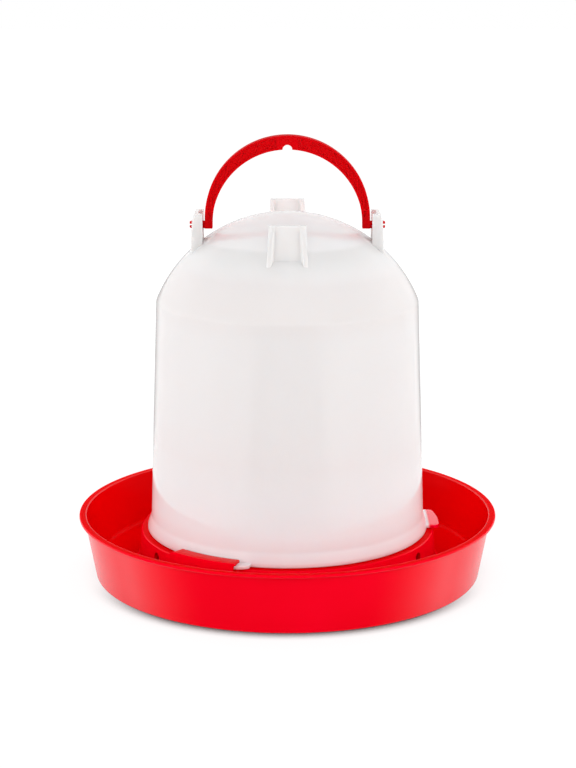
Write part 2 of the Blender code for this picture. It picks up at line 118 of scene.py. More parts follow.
def closeTree(tree, shape, material):
    whole = tree.node("GeometryNodeRealizeInstances", {}, {"Geometry": shape})
    dressed = tree.node("GeometryNodeSetMaterial", {}, {"Geometry": whole, "Material": material})
    out = tree.tree.nodes.new("NodeGroupOutput")
    tree.feed(out.inputs["Geometry"], dressed)
    return tree.tree


def plainMesh(obj):
    graph = bpy.context.evaluated_depsgraph_get()
    mesh = bpy.data.meshes.new_from_object(obj.evaluated_get(graph))
    obj.modifiers.clear()
    obj.data = mesh
    return obj


def grow(obj, group, values):
    # the inputs are set by the sockets' identifiers before the first evaluation
    modifier = obj.modifiers.new(group.name, "NODES")
    modifier.node_group = group
    for item in group.interface.items_tree:
        if item.item_type == "SOCKET" and item.in_out == "INPUT" and item.name in values:
            modifier[item.identifier] = values[item.name]
    return plainMesh(obj)


# Small helpers for shapes

def polar(radius, angle, height):
    # an angle counts from the front towards +X
    return Vector((radius * sin(angle), -radius * cos(angle), height))


def spread(start, end, count):
    return [start + (end - start) * i / count for i in range(count + 1)]


def addObject(name, data):
    obj = bpy.data.objects.new(name, data)
    bpy.context.scene.collection.objects.link(obj)
    return obj


def meshObject(name, shape):
    mesh = bpy.data.meshes.new(name)
    shape.to_mesh(mesh)
    shape.free()
    return addObject(name, mesh)


def tidyShell(obj, smoothAngle=32.0):
    # doubles merged, faces outwards, round faces smooth
    shape = bmesh.new()
    shape.from_mesh(obj.data)
    bmesh.ops.remove_doubles(shape, verts=shape.verts, dist=samePoint)
    bmesh.ops.recalc_face_normals(shape, faces=shape.faces)
    shape.to_mesh(obj.data)
    shape.free()
    obj.data.shade_smooth()
    obj.data.set_sharp_from_angle(angle=radians(smoothAngle))
    return obj


def rounded(corners, steps, cyclic=True):
    # corners are (x, y, rounding) in millimetres; each rounding becomes a short arc that takes
    # less than half of the side next to it
    count = len(corners)
    mostOfSide = 0.49
    points = []
    for i, (x, y, rounding) in enumerate(corners):
        here = Vector((x, y)) * mm
        if rounding == 0 or (not cyclic and i in (0, count - 1)):
            points.append(here)
            continue
        before = Vector(corners[i - 1][:2]) * mm - here
        after = Vector(corners[(i + 1) % count][:2]) * mm - here
        opening = before.angle(after)
        shorter = min(before.length, after.length)
        reach = min(rounding * mm / tan(opening / 2), mostOfSide * shorter)
        radius = reach * tan(opening / 2)
        bisector = (before.normalized() + after.normalized()).normalized()
        middle = here + bisector * (radius / sin(opening / 2))
        start = here + before.normalized() * reach - middle
        end = here + after.normalized() * reach - middle
        turn = start.angle_signed(end)
        for k in range(steps + 1):
            share = turn * k / steps
            points.append(middle + Matrix.Rotation(-share, 2) @ start)
    return points


def wireObject(name, points, cyclic=True):
    mesh = bpy.data.meshes.new(name)
    edges = [(i, i + 1) for i in range(len(points) - 1)]
    if cyclic:
        edges.append((len(points) - 1, 0))
    mesh.from_pydata([(point.x, point.y, 0.0) for point in points], edges, [])
    return addObject(name, mesh)


def plate(name, outlines, thickness, rounding=0.0):
    # a filled 2D curve with a thickness and rounded edges, made a mesh
    curve = bpy.data.curves.new(name, "CURVE")
    curve.dimensions = "2D"
    curve.fill_mode = "BOTH"
    curve.extrude = thickness / 2 - rounding
    curve.bevel_depth = rounding
    curve.bevel_resolution = 2
    curve.offset = -rounding
    for outline in outlines:
        spline = curve.splines.new("POLY")
        spline.points.add(len(outline) - 1)
        for point, place in zip(spline.points, outline):
            point.co = (place[0], place[1], 0.0, 1.0)
        spline.use_cyclic_u = True
    drawn = addObject(name, curve)
    graph = bpy.context.evaluated_depsgraph_get()
    mesh = bpy.data.meshes.new_from_object(drawn.evaluated_get(graph))
    bpy.data.objects.remove(drawn)
    return tidyShell(addObject(name, mesh))


def moved(obj, matrix):
    obj.data.transform(matrix)
    return obj


def loft(shape, rings):
    rows = [[shape.verts.new(point) for point in ring] for ring in rings]
    for lower, upper in zip(rows, rows[1:]):
        for i in range(len(lower)):
            j = (i + 1) % len(lower)
            shape.faces.new((lower[i], lower[j], upper[j], upper[i]))
    shape.faces.new(rows[0])
    shape.faces.new(rows[-1])


def joinTo(obj, other, operation):
    boolean = obj.modifiers.new(other.name, "BOOLEAN")
    boolean.operation = operation
    boolean.solver = "EXACT"
    boolean.object = other


def softEdges(obj, width, angle=35.0):
    bevel = obj.modifiers.new("soft edges", "BEVEL")
    bevel.width = width
    bevel.segments = 2
    bevel.limit_method = "ANGLE"
    bevel.angle_limit = radians(angle)
    return obj


def addDrill(shape, radius, length, segments, matrix):
    bmesh.ops.create_cone(
        shape, cap_ends=True, segments=segments, radius1=radius * mm, radius2=radius * mm,
        depth=length * mm, matrix=matrix)


def discard(*objects):
    for obj in objects:
        bpy.data.objects.remove(obj)


def finished(shell, material, stage):
    shell.data.materials.clear()
    shell.data.materials.append(material)
    print(stage + ":", len(shell.data.polygons), "faces")
    return shell


# Geometry Nodes: a profile turned about Z, copies in a ring, zig-zag ribs

def turnTree(material):
    # the profile is set back by the circle's radius, so its x counts from the Z axis
    tree, given = geometryTree("turned shell", [
        ("Segments", "NodeSocketInt", 240),
        ("Turning Radius", "NodeSocketFloat", 0.05),
        ("Material", "NodeSocketMaterial", material),
    ])
    profile = tree.node("GeometryNodeMeshToCurve", {}, {0: given["Geometry"]})
    shift = tree.node("ShaderNodeCombineXYZ", {}, {"X": 0.0 - given["Turning Radius"]})
    placed = tree.node("GeometryNodeTransform", {}, {
        "Geometry": profile, "Translation": shift, "Scale": (1.0, -1.0, 1.0)})
    circle = tree.node("GeometryNodeCurvePrimitiveCircle", {"mode": "RADIUS"}, {
        "Resolution": given["Segments"], "Radius": given["Turning Radius"]})
    shell = tree.node("GeometryNodeCurveToMesh", {}, {"Curve": circle, "Profile Curve": placed})
    merged = tree.node("GeometryNodeMergeByDistance", {}, {
        "Geometry": shell, "Distance": 2.5 * samePoint})
    return closeTree(tree, merged, given["Material"])


def turned(name, corners, material, segments):
    shell = wireObject(name, rounded(corners, 5))
    grow(shell, turnTree(material), {"Segments": segments})
    return tidyShell(shell)


def ringTree(material):
    tree, given = geometryTree("copies in a ring", [
        ("Copies", "NodeSocketInt", 4),
        ("Material", "NodeSocketMaterial", material),
    ])
    points = tree.node("GeometryNodeMeshLine", {}, {
        "Count": given["Copies"], "Offset": (0.0, 0.0, 0.0)})
    index = tree.node("GeometryNodeInputIndex")
    turn = index * (2.0 * pi) / given["Copies"]
    rotation = tree.node("ShaderNodeCombineXYZ", {}, {"Z": turn})
    copies = tree.node("GeometryNodeInstanceOnPoints", {}, {
        "Points": points, "Instance": given["Geometry"], "Rotation": rotation})
    return closeTree(tree, copies, given["Material"])


def zigzagTree(material):
    tree, given = geometryTree("zig-zag ribs", [
        ("Bends", "NodeSocketInt", 12),
        ("Start Angle", "NodeSocketFloat", 0.2),
        ("Pitch Angle", "NodeSocketFloat", 0.1),
        ("Outer Radius", "NodeSocketFloat", 0.056),
        ("Outer Rise", "NodeSocketFloat", 0.005),
        ("Inner Radius", "NodeSocketFloat", 0.054),
        ("Inner Rise", "NodeSocketFloat", 0.001),
        ("Rib Width", "NodeSocketFloat", 0.001),
        ("Rib Depth", "NodeSocketFloat", 0.008),
        ("Material", "NodeSocketMaterial", material),
    ])
    line = tree.node("GeometryNodeMeshLine", {}, {"Count": given["Bends"]})
    index = tree.node("GeometryNodeInputIndex")
    onInner = index % 2
    radius = given["Outer Radius"] + (given["Inner Radius"] - given["Outer Radius"]) * onInner
    rise = given["Outer Rise"] + (given["Inner Rise"] - given["Outer Rise"]) * onInner
    angle = given["Start Angle"] + given["Pitch Angle"] * index
    across = tree.node("ShaderNodeMath", {"operation": "SINE"}, {0: angle})
    upwards = tree.node("ShaderNodeMath", {"operation": "COSINE"}, {0: angle})
    place = tree.node("ShaderNodeCombineXYZ", {}, {
        "X": radius * across, "Z": rise + radius * upwards})
    bent = tree.node("GeometryNodeSetPosition", {}, {"Geometry": line, "Position": place})
    apart = tree.node("GeometryNodeSplitEdges", {}, {"Mesh": bent})
    path = tree.node("GeometryNodeMeshToCurve", {}, {0: apart})
    section = tree.node("GeometryNodeCurvePrimitiveQuadrilateral", {"mode": "RECTANGLE"}, {
        "Width": given["Rib Depth"], "Height": given["Rib Width"]})
    ribs = tree.node("GeometryNodeCurveToMesh", {}, {
        "Curve": path, "Profile Curve": section, "Fill Caps": True})
    return closeTree(tree, ribs, given["Material"])


# Materials: moulded polypropylene, red and natural

def newMaterial(name):
    material = bpy.data.materials.new(name)
    material.use_nodes = True
    shader = material.node_tree.nodes["Principled BSDF"]
    tree = Tree(material.node_tree)
    return material, shader, tree


def mixColours(tree, factor, first, second):
    made = tree.tree.nodes.new("ShaderNodeMix")
    made.data_type = "RGBA"
    for index, value in ((0, factor), (6, first), (7, second)):
        tree.feed(made.inputs[index], value)
    return Wire(tree, made.outputs[2])


def smoothShare(tree, value, start, end):
    return tree.node("ShaderNodeMapRange", {"interpolation_type": "SMOOTHSTEP"}, {
        "Value": value, "From Min": start, "From Max": end})


def noise(tree, scale, detail, place, roughness=0.5):
    return tree.node("ShaderNodeTexNoise", {}, {
        "Vector": place, "Scale": scale, "Detail": detail, "Roughness": roughness})


def levelPart(tree, vector):
    # the vector without its height
    return tree.node("ShaderNodeVectorMath", {"operation": "MULTIPLY"}, {
        0: vector, 1: (1.0, 1.0, 0.0)})


def unitOf(tree, vector):
    return tree.node("ShaderNodeVectorMath", {"operation": "NORMALIZE"}, {0: vector})


def lengthOf(tree, vector):
    return tree.node("ShaderNodeVectorMath", {"operation": "LENGTH"}, {0: vector}, output=1)


def axisOf(tree, vector, axis):
    # axis 0, 1 or 2 stands for X, Y or Z
    return tree.node("ShaderNodeSeparateXYZ", {}, {"Vector": vector}, output=axis)


def redPlastic(name, look):
    # a red body, painted shade on faces that don't turn outwards, a gloss coat where it faces
    # outwards and on the polished bands
    material, shader, tree = newMaterial(name)
    place = tree.node("ShaderNodeTexCoord", output=3)
    flow = noise(tree, look["flowScale"], 3.0, place)
    grain = noise(tree, look["grainScale"], 2.0, place)
    scuff = noise(tree, look["scuffScale"], 4.0, place, 0.7)
    least, most = look["flowRange"]
    clouds = tree.node("ShaderNodeMapRange", {}, {
        "Value": flow, "From Min": least, "From Max": most})
    wear = (scuff - 0.5) * look["scuffing"] + (flow - 0.5) * look["flowing"]
    tree.feed(shader.inputs["Roughness"], look["roughness"] + wear)
    bump = tree.node("ShaderNodeBump", {}, {
        "Height": grain + flow * look["flowDepth"], "Strength": look["bump"],
        "Distance": 0.1 * mm})
    tree.feed(shader.inputs["Normal"], bump)
    flat = levelPart(tree, place)
    radius = lengthOf(tree, flat)
    height = axisOf(tree, place, 2)
    outwards = unitOf(tree, flat)
    normal = tree.node("ShaderNodeNewGeometry", output=1)
    leaning = tree.node("ShaderNodeVectorMath", {"operation": "DOT_PRODUCT"}, {
        0: normal, 1: outwards}, output=1)
    outer = mixColours(tree, clouds, look["deep"], look["bright"])
    # painted shade: faces that don't turn outwards take the darker inside colour
    tree.feed(shader.inputs["Base Color"], mixColours(
        tree, smoothShare(tree, leaning, *look["insideTurn"]), look["inside"], outer))
    facing = tree.node("ShaderNodeLayerWeight", {}, {"Blend": 0.5}, output=1)
    sheen = smoothShare(tree, facing, look["glossFrom"], look["glossTo"])
    sheen = sheen * (1.0 - smoothShare(tree, facing, *look["edgeOn"]) * look["edgeLoss"])
    polish = sheen * smoothShare(tree, leaning, *look["outsideTurn"])
    for heights, radii, share in look["polished"]:
        band = smoothShare(tree, height, *heights) * smoothShare(tree, radius, *radii)
        polish = polish + band * share
    tree.feed(shader.inputs["Coat Weight"], look["everywhere"] + polish * look["gloss"])
    shader.inputs["Coat Roughness"].default_value = look["coatRoughness"]
    shader.inputs["Coat IOR"].default_value = look["coatIor"]
    shader.inputs["Specular IOR Level"].default_value = look["specular"]
    return material


def naturalPlastic(look):
    # milky plastic: a colour for each height with painted light and shade in it, painted shade on
    # the thick feet, and painted red light where the tray shines through the grip tab
    material, shader, tree = newMaterial("polypropylene_natural")
    place = tree.node("ShaderNodeTexCoord", output=3)
    stretched = tree.node("ShaderNodeMapping", {}, {
        "Vector": place, "Scale": (1.0, 1.0, look["stretch"])})
    clouds = noise(tree, look["cloudScale"], 3.0, stretched)
    waves = noise(tree, look["waveScale"], 2.0, stretched)
    grain = noise(tree, look["grainScale"], 2.0, place)
    across = axisOf(tree, place, 0)
    height = axisOf(tree, place, 2)
    # the height colours hold painted light and shade: pink light from the tray at the bead, light
    # low on the wall and on the crown, shade round the shoulder
    stops = [(level / hopper["crownHeight"], colour) for level, colour in look["colours"]]
    drifting = height + (clouds - 0.5) * look["drift"]
    ramp = tree.node("ShaderNodeValToRGB", {"stops": stops}, {
        "Fac": drifting / (hopper["crownHeight"] * mm)})
    faintly = 1.0 - look["clouding"] / 2 + clouds * look["clouding"]
    natural = tree.node("ShaderNodeVectorMath", {"operation": "SCALE"}, {0: ramp, "Scale": faintly})
    radius = lengthOf(tree, levelPart(tree, place))
    # painted shade on the feet, where less light comes through the thick plastic
    onFoot = smoothShare(tree, radius, *look["footShadeRadius"])
    onFoot = onFoot * smoothShare(tree, height, *look["footShadeHeight"])
    natural = mixColours(tree, onFoot, natural, look["footShade"])
    # painted red light: the tray's red light through the grip tab on the right
    paintedRedShare = smoothShare(tree, across, *look["paintedTrayRedAcross"])
    tree.feed(shader.inputs["Base Color"], mixColours(tree, paintedRedShare, natural, look["paintedTrayRed"]))
    tree.feed(shader.inputs["Roughness"], look["roughness"] + (grain - 0.5) * look["scuffing"])
    bump = tree.node("ShaderNodeBump", {}, {
        "Height": grain * look["grainDepth"] + waves * look["waveDepth"],
        "Strength": look["bump"], "Distance": 0.1 * mm})
    tree.feed(shader.inputs["Normal"], bump)
    shader.inputs["IOR"].default_value = look["ior"]
    shader.inputs["Subsurface Weight"].default_value = look["subsurface"]
    shader.inputs["Subsurface Radius"].default_value = look["subsurfaceRadius"]
    shader.inputs["Subsurface Scale"].default_value = look["subsurfaceScale"]
    return material


# Tray: turned shell with a raised ring, six outlets and two bayonet hooks

tray = {
    "segments": 240,
    "profile": [  # radius, height, rounding
        (144.8, 44.2, 0.8), (150.0, 44.2, 1.1), (150.0, 42.0, 1.1), (146.2, 42.0, 1.0),
        (138.4, 0.0, 1.1), (135.5, 0.0, 0.5), (136.4, 4.8, 1.0), (0.0, 4.8, 0), (0.0, 7.0, 0),
        (105.0, 7.0, 2.4), (102.8, 29.7, 0.8), (92.6, 29.7, 0.4), (92.6, 32.1, 0.6),
        (105.4, 32.1, 1.2), (107.6, 7.0, 4.0), (137.5, 7.0, 4.6),
    ],
    "outlets": 6, "outletDiameter": 7.0, "outletHeight": 24.5, "outletRadius": 105.4,
    "drillLength": 18.0,
}

hook = {
    "copies": 2, "lockAngle": -24.8, "lugHalfAngle": 10.75, "lugRadius": 109.5, "lugTop": 35.1,
    "root": 104.3, "overlap": 6.3, "clearance": 0.6, "web": 2.5, "roof": 2.2, "flare": 1.6,
    "stop": 8.7, "ramp": 5.5, "open": 5.6, "nose": 0.8, "blunt": 0.4,
    "bottom": 5.9, "shelf": 31.8, "inLedge": 30.9, "plinthTop": 32.1, "edge": 0.45,
}


def buildHook():
    roofInner = (hook["lugRadius"] - hook["overlap"]) * mm
    webInner = (hook["lugRadius"] + hook["clearance"]) * mm
    outer = webInner + hook["web"] * mm
    roofUnder = (hook["lugTop"] + hook["clearance"]) * mm
    roofTop = roofUnder + hook["roof"] * mm
    foot = outer + hook["flare"] * mm
    root, bottom = hook["root"] * mm, hook["bottom"] * mm
    blunt = 0.2 * hook["roof"] * mm
    inLedge = hook["inLedge"] * mm
    crest = [(outer, roofUnder), (outer, roofTop), (roofInner, roofTop)]
    sunk = hook["plinthTop"] * mm - roofTop - blunt
    lowCrest = [(radius, height + sunk) for radius, height in crest]
    noseCrest = [(max(roofInner, radius - 2.0 * blunt), height - blunt) for radius, height in crest]
    heel = [(roofInner, inLedge), (root, inLedge), (root, bottom), (foot, bottom)]
    spare = 1.0 * mm  # how far a cutter stands past what it cuts
    spareTurn = 2.0
    slot = [(roofInner - spare, hook["shelf"] * mm), (webInner, hook["shelf"] * mm),
            (webInner, roofUnder), (roofInner - spare, roofUnder)]
    under = [(root - spare, bottom - spare), (foot + spare, bottom - spare),
             (foot + spare, roofUnder + blunt), (root - spare, roofUnder + blunt)]
    slotStart = hook["lockAngle"] - hook["lugHalfAngle"]
    rampTop = slotStart - hook["stop"]
    webEnd = hook["lockAngle"] + hook["open"]
    noseEnd = webEnd + hook["nose"]

    def ring(section, angle):
        return [polar(radius, radians(angle), height) for radius, height in section]

    body = bmesh.new()
    rings = [ring(lowCrest + heel, rampTop - hook["ramp"])]
    rings += [ring(crest + heel, angle) for angle in spread(rampTop, noseEnd - hook["blunt"], 18)]
    loft(body, rings + [ring(noseCrest + heel, noseEnd)])
    slotCut = bmesh.new()
    loft(slotCut, [ring(slot, angle) for angle in spread(slotStart, noseEnd + spareTurn, 14)])
    underCut = bmesh.new()
    loft(underCut, [ring(under, angle) for angle in spread(webEnd, noseEnd + spareTurn, 4)])
    block = tidyShell(meshObject("hookBlock", body))
    cuts = [tidyShell(meshObject("lugSlot", slotCut)), tidyShell(meshObject("noseCut", underCut))]
    for cut in cuts:
        joinTo(block, cut, "DIFFERENCE")
    softEdges(block, hook["edge"] * mm)
    plainMesh(block)
    discard(*cuts)
    return block


def buildTray(material):
    shell = turned("trayShell", tray["profile"], material, tray["segments"])
    block = buildHook()
    grow(block, ringTree(material), {"Copies": hook["copies"]})
    tidyShell(block)
    joinTo(shell, block, "UNION")
    drill = bmesh.new()
    outlet = Matrix.Translation((0.0, -tray["outletRadius"] * mm, tray["outletHeight"] * mm))
    addDrill(drill, tray["outletDiameter"] / 2, tray["drillLength"], 32,
             outlet @ Matrix.Rotation(pi / 2, 4, "X"))
    drills = meshObject("outletDrills", drill)
    grow(drills, ringTree(material), {"Copies": tray["outlets"]})
    tidyShell(drills)
    joinTo(shell, drills, "DIFFERENCE")
    plainMesh(shell)
    discard(block, drills)
    tidyShell(shell)
    return finished(shell, material, "tray")


# Hopper: turned milky shell, four H-section feet, two lugs and a grip tab

hopper = {
    "segments": 240, "wall": 2.2, "bottom": 32.4, "baseRadius": 98.4, "beadRadius": 101.0,
    "shoulderRadius": 92.5, "shoulderHeight": 198.6, "crownHeight": 260.3, "shoulderSoftness": 7.0,
    "flareHeight": 10.0, "flareSoftness": 9.0, "beadHeight": 2.6, "beadDraft": 0.3,
    "beadSoftness": 1.6, "beadEdge": 0.9, "mouthEdge": 0.4, "cavityInset": 0.3,
}

foot = {
    "copies": 4, "top": 260.8, "innerRadius": 59.0, "outerRadius": 66.2, "web": 2.4,
    "webSetIn": 2.8, "ribEdge": 3.2, "ribRoot": 4.6, "halfTop": 12.5, "halfBase": 14.7,
    "chamferHeight": 4.4, "chamferDepth": 2.2, "flare": 2.0, "outerFlare": 1.6, "edge": 0.35,
    "baseShare": 0.42, "pinHeight": 251.8, "holeRadius": 2.5, "drillLength": 15.0,
}

lug = {
    "thickness": 2.4, "reach": 109.5, "root": 99.0, "halfAngle": 10.5, "cornerAngle": 2.4,
    "middle": 33.9, "edge": 0.35, "inWall": 2.0,
    "ends": ((-24.8, 7.0, 5.5), (155.2, 7.0, 5.5), (94.5, 2.4, 3.0)),  # angle, taper, its depth
}


def crownArc(offset, last, count):
    rise = hopper["crownHeight"] - hopper["shoulderHeight"]
    radius = (hopper["shoulderRadius"] ** 2 + rise ** 2) / (2.0 * rise)
    centre = hopper["crownHeight"] - radius
    radius -= offset
    end = atan2(sqrt(radius ** 2 - last ** 2), last)
    points = []
    for angle in spread(pi / 2, end, count)[1:]:
        points.append((radius * cos(angle), centre + radius * sin(angle), 0))
    return [(0.0, centre + radius, 0)] + points


def buildFoot():
    # the block is laid out at the front, and reaches down into the dome
    crownRise = hopper["crownHeight"] - hopper["shoulderHeight"]
    base = hopper["shoulderHeight"] + foot["baseShare"] * crownRise
    chamfer = foot["top"] - foot["chamferHeight"]
    inner, outer = foot["innerRadius"], foot["outerRadius"]
    levels = [
        (base, inner - 2.0 * foot["flare"], outer + foot["outerFlare"]),
        (base + 0.5 * (chamfer - base), inner, outer + 0.5 * foot["outerFlare"]),
        (chamfer, inner, outer),
        (foot["top"], inner, outer - foot["chamferDepth"]),
    ]
    webInside = inner + foot["webSetIn"]
    webOutside = webInside + foot["web"]
    rings = []
    for height, inside, outside in levels:
        share = (foot["top"] - height) / (foot["top"] - base)
        half = foot["halfTop"] + (foot["halfBase"] - foot["halfTop"]) * share
        edge, root = half - foot["ribEdge"], half - foot["ribRoot"]
        section = [
            (inside, -half), (outside, -half), (outside, -edge), (webOutside, -root),
            (webOutside, root), (outside, edge), (outside, half), (inside, half),
            (inside, edge), (webInside, root), (webInside, -root), (inside, -edge),
        ]
        rings.append([Vector((side * mm, -along * mm, height * mm)) for along, side in section])
    shape = bmesh.new()
    loft(shape, rings)
    return softEdges(tidyShell(meshObject("footBlock", shape)), foot["edge"] * mm, 30.0)


def lugOutline(angle, taper, taperDepth):
    # the leading end runs in on a quarter ellipse, taper degrees long
    half, corner, reach = lug["halfAngle"], lug["cornerAngle"], lug["reach"]
    depth = reach - lug["root"] - lug["inWall"]
    # the trailing corner is cut off in two steps
    outline = [(lug["root"], turn) for turn in spread(half, -half, 8)]
    outline += [(reach - 0.35 * depth, -half), (reach - 0.1 * depth, -half + 0.35 * corner)]
    outline += [(reach, turn) for turn in spread(corner - half, half - taper, 8)]
    for turn in spread(0.0, pi / 2, 8)[1:]:
        outline.append((reach - taperDepth * (1.0 - cos(turn)), half - taper * (1.0 - sin(turn))))
    return [polar(radius * mm, radians(angle + turn), 0.0) for radius, turn in outline]


def buildHopper(material):
    base, bead, bottom = hopper["baseRadius"], hopper["beadRadius"], hopper["bottom"]
    slope = (base - hopper["shoulderRadius"]) / (hopper["shoulderHeight"] - bottom)
    flare = hopper["flareHeight"]
    outside = crownArc(0.0, hopper["shoulderRadius"], 40)
    outside[-1] = (hopper["shoulderRadius"], hopper["shoulderHeight"], hopper["shoulderSoftness"])
    outside += [
        (base - flare * slope, bottom + flare, hopper["flareSoftness"]),
        (bead - hopper["beadDraft"], bottom + hopper["beadHeight"], hopper["beadSoftness"]),
        (bead, bottom, hopper["beadEdge"]), (0.0, bottom, 0),
    ]
    shell = turned("hopperShell", outside, material, hopper["segments"])
    wall = hopper["wall"]
    inside = crownArc(wall, hopper["shoulderRadius"] - wall - hopper["cavityInset"], 30)
    inside[-1] = (*inside[-1][:2], hopper["shoulderSoftness"] - wall)
    mouth = base - wall
    inside += [
        (mouth, bottom + 1.0, hopper["mouthEdge"]), (mouth + 1.0, bottom - 0.2, 0),
        (mouth + 1.0, bottom - 4.0, 0), (0.0, bottom - 4.0, 0),  # out through the open bottom
    ]
    cavity = turned("hopperCavity", inside, material, hopper["segments"])
    feet = buildFoot()
    plainMesh(feet)
    grow(feet, ringTree(material), {"Copies": foot["copies"]})
    tidyShell(feet)
    outlines = [lugOutline(*end) for end in lug["ends"]]
    lugs = plate("lugs", outlines, lug["thickness"] * mm, lug["edge"] * mm)
    moved(lugs, Matrix.Translation((0.0, 0.0, lug["middle"] * mm)))
    drill = bmesh.new()
    for side in (-1, 1):
        middle = side * (foot["innerRadius"] + foot["outerRadius"]) / 2 * mm
        hole = Matrix.Translation((middle, 0.0, foot["pinHeight"] * mm))
        addDrill(drill, foot["holeRadius"], foot["drillLength"], 40,
                 hole @ Matrix.Rotation(pi / 2, 4, "Y"))
    drills = meshObject("pinDrills", drill)
    joinTo(shell, feet, "UNION")
    joinTo(shell, lugs, "UNION")
    joinTo(shell, cavity, "DIFFERENCE")
    joinTo(shell, drills, "DIFFERENCE")
    plainMesh(shell)
    discard(feet, lugs, cavity, drills)
    tidyShell(shell)
    return finished(shell, material, "hopper")


# Handle: flat bow with zig-zag ribs on both faces and split snap pins

bow = {
    "depth": 9.0, "outerRadius": 57.7, "outerRise": 4.9, "innerRadius": 52.4, "innerRise": 0.5,
    "endDrop": 2.3, "edge": 0.6, "notchRadius": 3.4, "border": 1.5, "webThickness": 7.2,
    "ribWidth": 1.1, "ribDepth": 8.6, "ribEdge": 0.15, "ribInBorder": 0.8, "pocketStart": 8.0,
    "pocketPitch": 6.4, "pocketsPerSide": 11, "height": 251.8,
    "flatAngle": 20.0,  # edges sharper than this stay crisp, so the faces stay flat
}

pin = {
    "radius": 2.2, "bossRadius": 2.7, "barbRadius": 2.9, "barbLength": 3.9, "bossStart": 55.7,
    "barbFlat": 1.755, "bossFace": 61.5, "catch": 64.5, "slot": 1.6, "slotStart": 61.8,
    "slotLength": 10.0,
}


def bowPoint(radius, rise, angle):
    return Vector((radius * sin(angle), rise + radius * cos(angle))) * mm


def bowOutline():
    outer, inner = bow["outerRadius"], bow["innerRadius"]
    end = -bow["endDrop"]
    quarter = pi / 2
    notch = atan2(bow["notchRadius"], inner)
    points = [Vector((outer, end)) * mm]
    points += [bowPoint(outer, bow["outerRise"], angle) for angle in spread(quarter, -quarter, 120)]
    points += [Vector((-outer, end)) * mm, Vector((-inner, end)) * mm]
    points += [bowPoint(inner, bow["innerRise"], angle) for angle in spread(-quarter, -notch, 56)]
    rise = points[-1].y / mm
    turns = spread(-quarter, quarter, 20)[1:-1]
    points += [bowPoint(bow["notchRadius"], rise, angle) for angle in turns]
    points += [bowPoint(inner, bow["innerRise"], angle) for angle in spread(notch, quarter, 56)]
    points.append(Vector((inner, end)) * mm)
    return points


def pocketRegion(side):
    start = side * radians(bow["pocketStart"])
    end = side * radians(bow["pocketStart"] + bow["pocketPitch"] * (bow["pocketsPerSide"] + 1))
    outer, inner = bow["outerRadius"] - bow["border"], bow["innerRadius"] + bow["border"]
    points = [bowPoint(outer, bow["outerRise"], angle) for angle in spread(start, end, 50)]
    return points + [bowPoint(inner, bow["innerRise"], angle) for angle in spread(end, start, 50)]


def buildHandle(material):
    upright = Matrix.Translation((0.0, 0.0, bow["height"] * mm)) @ Matrix.Rotation(pi / 2, 4, "X")
    regions = [pocketRegion(-1), pocketRegion(1)]
    frameBow = plate("handleBow", [bowOutline()] + regions, bow["depth"] * mm, 0.0)
    web = plate("bowWeb", regions, bow["webThickness"] * mm, 0.0)
    softEdges(frameBow, bow["edge"] * mm, 50.0)
    plainMesh(frameBow)
    parts = [moved(frameBow, upright), moved(web, upright)]
    ribs = zigzagTree(material)
    inBorder = bow["border"] * bow["ribInBorder"]
    for side, name in ((-1, "leftRibs"), (1, "rightRibs")):
        seed = meshObject(name, bmesh.new())
        grow(seed, ribs, {
            "Bends": bow["pocketsPerSide"] + 2,
            "Start Angle": side * radians(bow["pocketStart"]),
            "Pitch Angle": side * radians(bow["pocketPitch"]),
            "Outer Radius": (bow["outerRadius"] - inBorder) * mm,
            "Outer Rise": bow["outerRise"] * mm,
            "Inner Radius": (bow["innerRadius"] + inBorder) * mm,
            "Inner Rise": bow["innerRise"] * mm,
            "Rib Width": bow["ribWidth"] * mm,
            "Rib Depth": bow["ribDepth"] * mm,
        })
        softEdges(seed, bow["ribEdge"] * mm)
        plainMesh(seed)
        parts.append(moved(seed, Matrix.Translation((0.0, 0.0, bow["height"] * mm))))
    for side in (-1, 1):
        parts.append(buildPin(side, material))
    whole = bmesh.new()
    for part in parts:
        whole.from_mesh(part.data)
    discard(*parts)
    handle = tidyShell(meshObject("handleShell", whole), bow["flatAngle"])
    return finished(handle, material, "handle")


def buildPin(side, material):
    catch, radius, barb = pin["catch"], pin["radius"], pin["barbRadius"]
    start, face, tip = pin["bossStart"], pin["bossFace"], catch + pin["barbLength"]
    profile = [
        (0.0, start, 0), (pin["bossRadius"], start, 0), (pin["bossRadius"], face, 0.3),
        (radius, face, 0), (radius, catch, 0), (barb, catch, 0.15),
        (barb, catch + pin["barbFlat"], 0.5), (radius, tip, 0.5), (0.0, tip, 0),
    ]
    part = wireObject("snapPin", rounded(profile, 3, False), False)
    grow(part, turnTree(material), {"Segments": 40, "Turning Radius": 0.01})
    tidyShell(part)
    cut = bmesh.new()
    length = pin["slotLength"]
    middle = Matrix.Translation((0.0, 0.0, (pin["slotStart"] + length / 2) * mm))
    bmesh.ops.create_cube(cut, size=1.0, matrix=middle @ Matrix.Diagonal(
        (pin["slot"] * mm, 2.0 * length * mm, length * mm, 1.0)))
    saw = meshObject("pinSlot", cut)
    joinTo(part, saw, "DIFFERENCE")
    plainMesh(part)
    discard(saw)
    # built upright, then laid along X at the height of the holes
    lifted = Matrix.Translation((0.0, 0.0, bow["height"] * mm))
    return moved(part, lifted @ Matrix.Rotation(side * pi / 2, 4, "Y"))


# Looks: colours are linear, the bands' heights and radii are in metres

